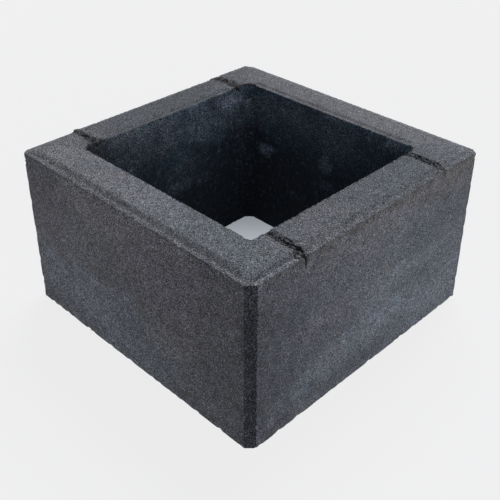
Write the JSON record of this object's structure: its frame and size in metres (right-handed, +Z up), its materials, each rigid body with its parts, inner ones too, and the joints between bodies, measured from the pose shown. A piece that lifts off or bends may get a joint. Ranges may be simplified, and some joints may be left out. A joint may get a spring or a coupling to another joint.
{
  "type": "concrete fence block",
  "caption": "Hollow square concrete block with pressed top edges, open at top and bottom, stacked into a fence pillar and filled.",
  "frame": {"origin": "middle of the open base, on the surface that the block stands on", "axes": "+Z up through the core, -Y out of the front face, +X out of the right face; the core bars' marks cross the walls at -X and +X"},
  "size_m": [0.36, 0.36, 0.2],
  "materials": {
    "concrete": "dry-pressed dark grey concrete, matt and grainy, with clouds of lighter bloom"
  },
  "bodies": {
    "root": {"fence_block": "concrete"}
  },
  "joints": []
}
